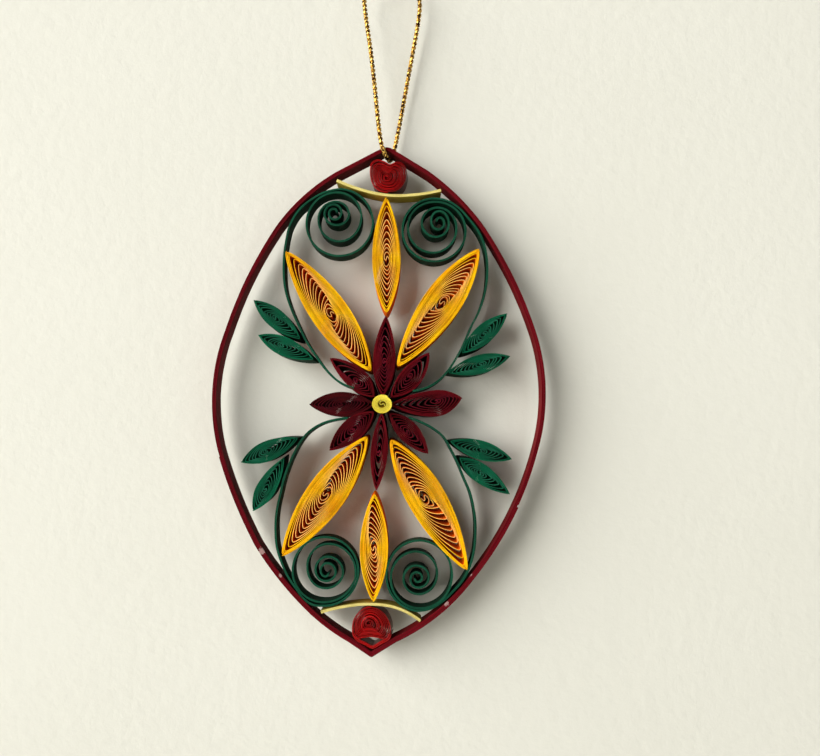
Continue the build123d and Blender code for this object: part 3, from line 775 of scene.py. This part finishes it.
# Red coils: two rolls of glossy red paper, pressed into a heart under the top fold and into a
# drop over the bottom fold, whose last turns stand off it. Both are glued into the hoop.
# Eye, outline, and the line that the last turns follow where they stand off it.
red_outlines = {
    "coil_top": ((0.003, 1.370), (
        (0.014, 1.277), (-0.039, 1.287), (-0.078, 1.318), (-0.100, 1.371), (-0.106, 1.422),
        (-0.098, 1.470), (-0.062, 1.493), (-0.019, 1.484), (0.025, 1.466), (0.072, 1.485),
        (0.110, 1.472), (0.132, 1.440), (0.133, 1.390), (0.117, 1.332), (0.078, 1.288)), ()),
    "coil_bottom": ((-0.022, -1.376), (
        (-0.011, -1.276), (-0.057, -1.291), (-0.092, -1.322), (-0.114, -1.355),
        (-0.123, -1.400), (-0.119, -1.445), (-0.098, -1.470), (-0.050, -1.465),
        (-0.005, -1.460), (0.045, -1.466), (0.096, -1.470), (0.117, -1.439),
        (0.120, -1.404), (0.106, -1.360), (0.079, -1.318), (0.041, -1.290)), (
        (-0.119, -1.445), (-0.102, -1.476), (-0.042, -1.508), (0.003, -1.527),
        (0.060, -1.498), (0.110, -1.464), (0.117, -1.439))),
}


def pressed(eye, outline, turns, last):
    """Line of a pressed roll: the closed outline, smoothed, drawn a little smaller about the eye
    with each turn inward, by slightly random steps, down to the last share."""
    eye, outline = np.array(eye), np.array(outline)
    ring = through(np.vstack((outline[-2:], outline, outline[:3])), 400)
    a = int(np.argmin(np.linalg.norm(ring[:100] - outline[0], axis=1)))
    b = 300 + int(np.argmin(np.linalg.norm(ring[300:] - outline[0], axis=1)))
    ring = ring[a:b + 1]
    count = len(ring) - 1
    u = np.linspace(0, turns, turns * 80 + 1)
    k = (u % 1) * count
    place = np.column_stack([np.interp(k, np.arange(count + 1), column) for column in ring.T])
    uneven = np.random.default_rng(turns).uniform(-0.3, 0.3, turns + 1) / turns
    share = 0.98 - (1 - last) * (u / turns) + np.interp(u, np.arange(turns + 1), uneven) * (u > 1)
    return plan(eye + (place - eye) * share[:, None])


# Its faces, darker than the cut edges, are painted shade for the gaps between the turns.
red = paper("red_paper", (84, 0, 2), (170, 4, 8), shade=0.7, roughness=0.3, gloss=0.35)
folded_step = 0.19 * MM
for seed, (name, (eye, outline, folded)) in enumerate(red_outlines.items(), 50):
    lines = [pressed(eye, outline, turns=12, last=0.10)]
    if folded:
        fold = through(plan(folded), 120)
        lines += [fold + normals(fold) * (k + 0.5) * folded_step for k in range(4)]
    points, faces, marks = ribbons(lines, thickness=0.165 * MM, rough=0.22 * MM, seed=seed,
                                   slip=np.array(((0.35 * MM, 0),)))
    show(name, mesh_of(name, points, faces, **marks), red, "red_paper", name)

# Centre: a tight roll of lemon yellow paper, narrower than the other strips, glued on the front
# of the flower over the petals' inner tips. Its radius falls evenly over seven turns, then
# through zero in an S, as in the pinched coils.
centre = plan(((0.021, -0.056),))[0]
turns, hollow_share = 7, 0.40
half_width, half_height = 2.33 * MM, 2.14 * MM
u = np.linspace(0, turns, turns * 72 + 1)
r = np.linspace(hollow_share, -0.30, 40)[1:]
radius = np.concatenate((np.interp(u, (0, turns), (1.0, hollow_share)), r))
angle = np.concatenate((2 * math.pi * u, 2.9 * (1 - (r / hollow_share) ** 2)))
angle += math.radians(60)
slip = np.outer(np.clip((0.5 - np.abs(radius)) / 0.05, 0, 1), (0.3 * MM, 0.8 * MM))
roll = np.column_stack((np.cos(angle) * half_width, np.sin(angle) * half_height))
roll = centre + roll * radius[:, None]
# Its faces, darker than the cut edges, are painted shade for the gaps between the turns.
lemon = paper("lemon_paper", (140, 108, 4), (240, 224, 80), shade=0.4, gloss=0.1)
points, faces, marks = ribbons([roll], thickness=0.18 * MM, front=-4.5 * MM, back=-2.52 * MM,
                               rough=0.06 * MM, seed=60, slip=slip)
show("center_coil", mesh_of("center_coil", points, faces, **marks), lemon, "lemon_paper",
     "center_coil")

bpy.context.scene.view_settings.view_transform = "Standard"
